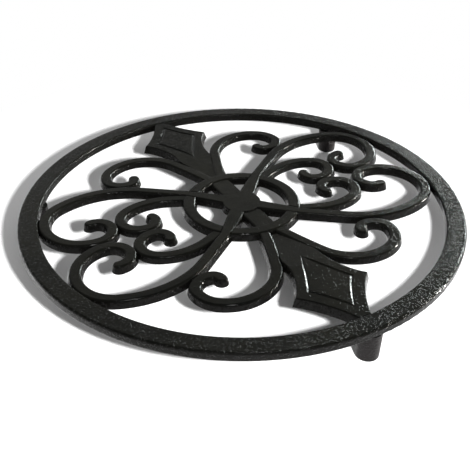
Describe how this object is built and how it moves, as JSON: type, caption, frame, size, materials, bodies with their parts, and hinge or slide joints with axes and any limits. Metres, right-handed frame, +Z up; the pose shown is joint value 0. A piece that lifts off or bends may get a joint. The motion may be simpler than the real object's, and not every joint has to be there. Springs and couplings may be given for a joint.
{
  "type": "trivet",
  "caption": "Round cast-iron trivet: a flat rim on peg feet, filled with mirrored scrolls around a ringed star and two diamond finials; holds a hot pot clear of the table.",
  "frame": {"origin": "on the rim's axis at the floor, under the feet", "axes": "+Z up along the rim's axis, +Y towards the rear diamond, -Y towards the front diamond and the front foot"},
  "size_m": [0.2, 0.2, 0.0168],
  "materials": {
    "cast_iron": "black seasoned sand casting, semi-gloss"
  },
  "bodies": {
    "root": {"rim": "cast_iron", "hub_ring": "cast_iron", "hub_star": "cast_iron", "diamond_rear": "cast_iron", "diamond_front": "cast_iron", "outer_scroll_rear_right": "cast_iron", "outer_scroll_rear_left": "cast_iron", "outer_scroll_front_right": "cast_iron", "outer_scroll_front_left": "cast_iron", "inner_scroll_rear_right": "cast_iron", "inner_scroll_rear_left": "cast_iron", "inner_scroll_front_right": "cast_iron", "inner_scroll_front_left": "cast_iron", "side_scroll_rear_right": "cast_iron", "side_scroll_rear_left": "cast_iron", "side_scroll_front_right": "cast_iron", "side_scroll_front_left": "cast_iron", "foot_front": "cast_iron", "foot_right": "cast_iron", "foot_left": "cast_iron"}
  },
  "joints": []
}
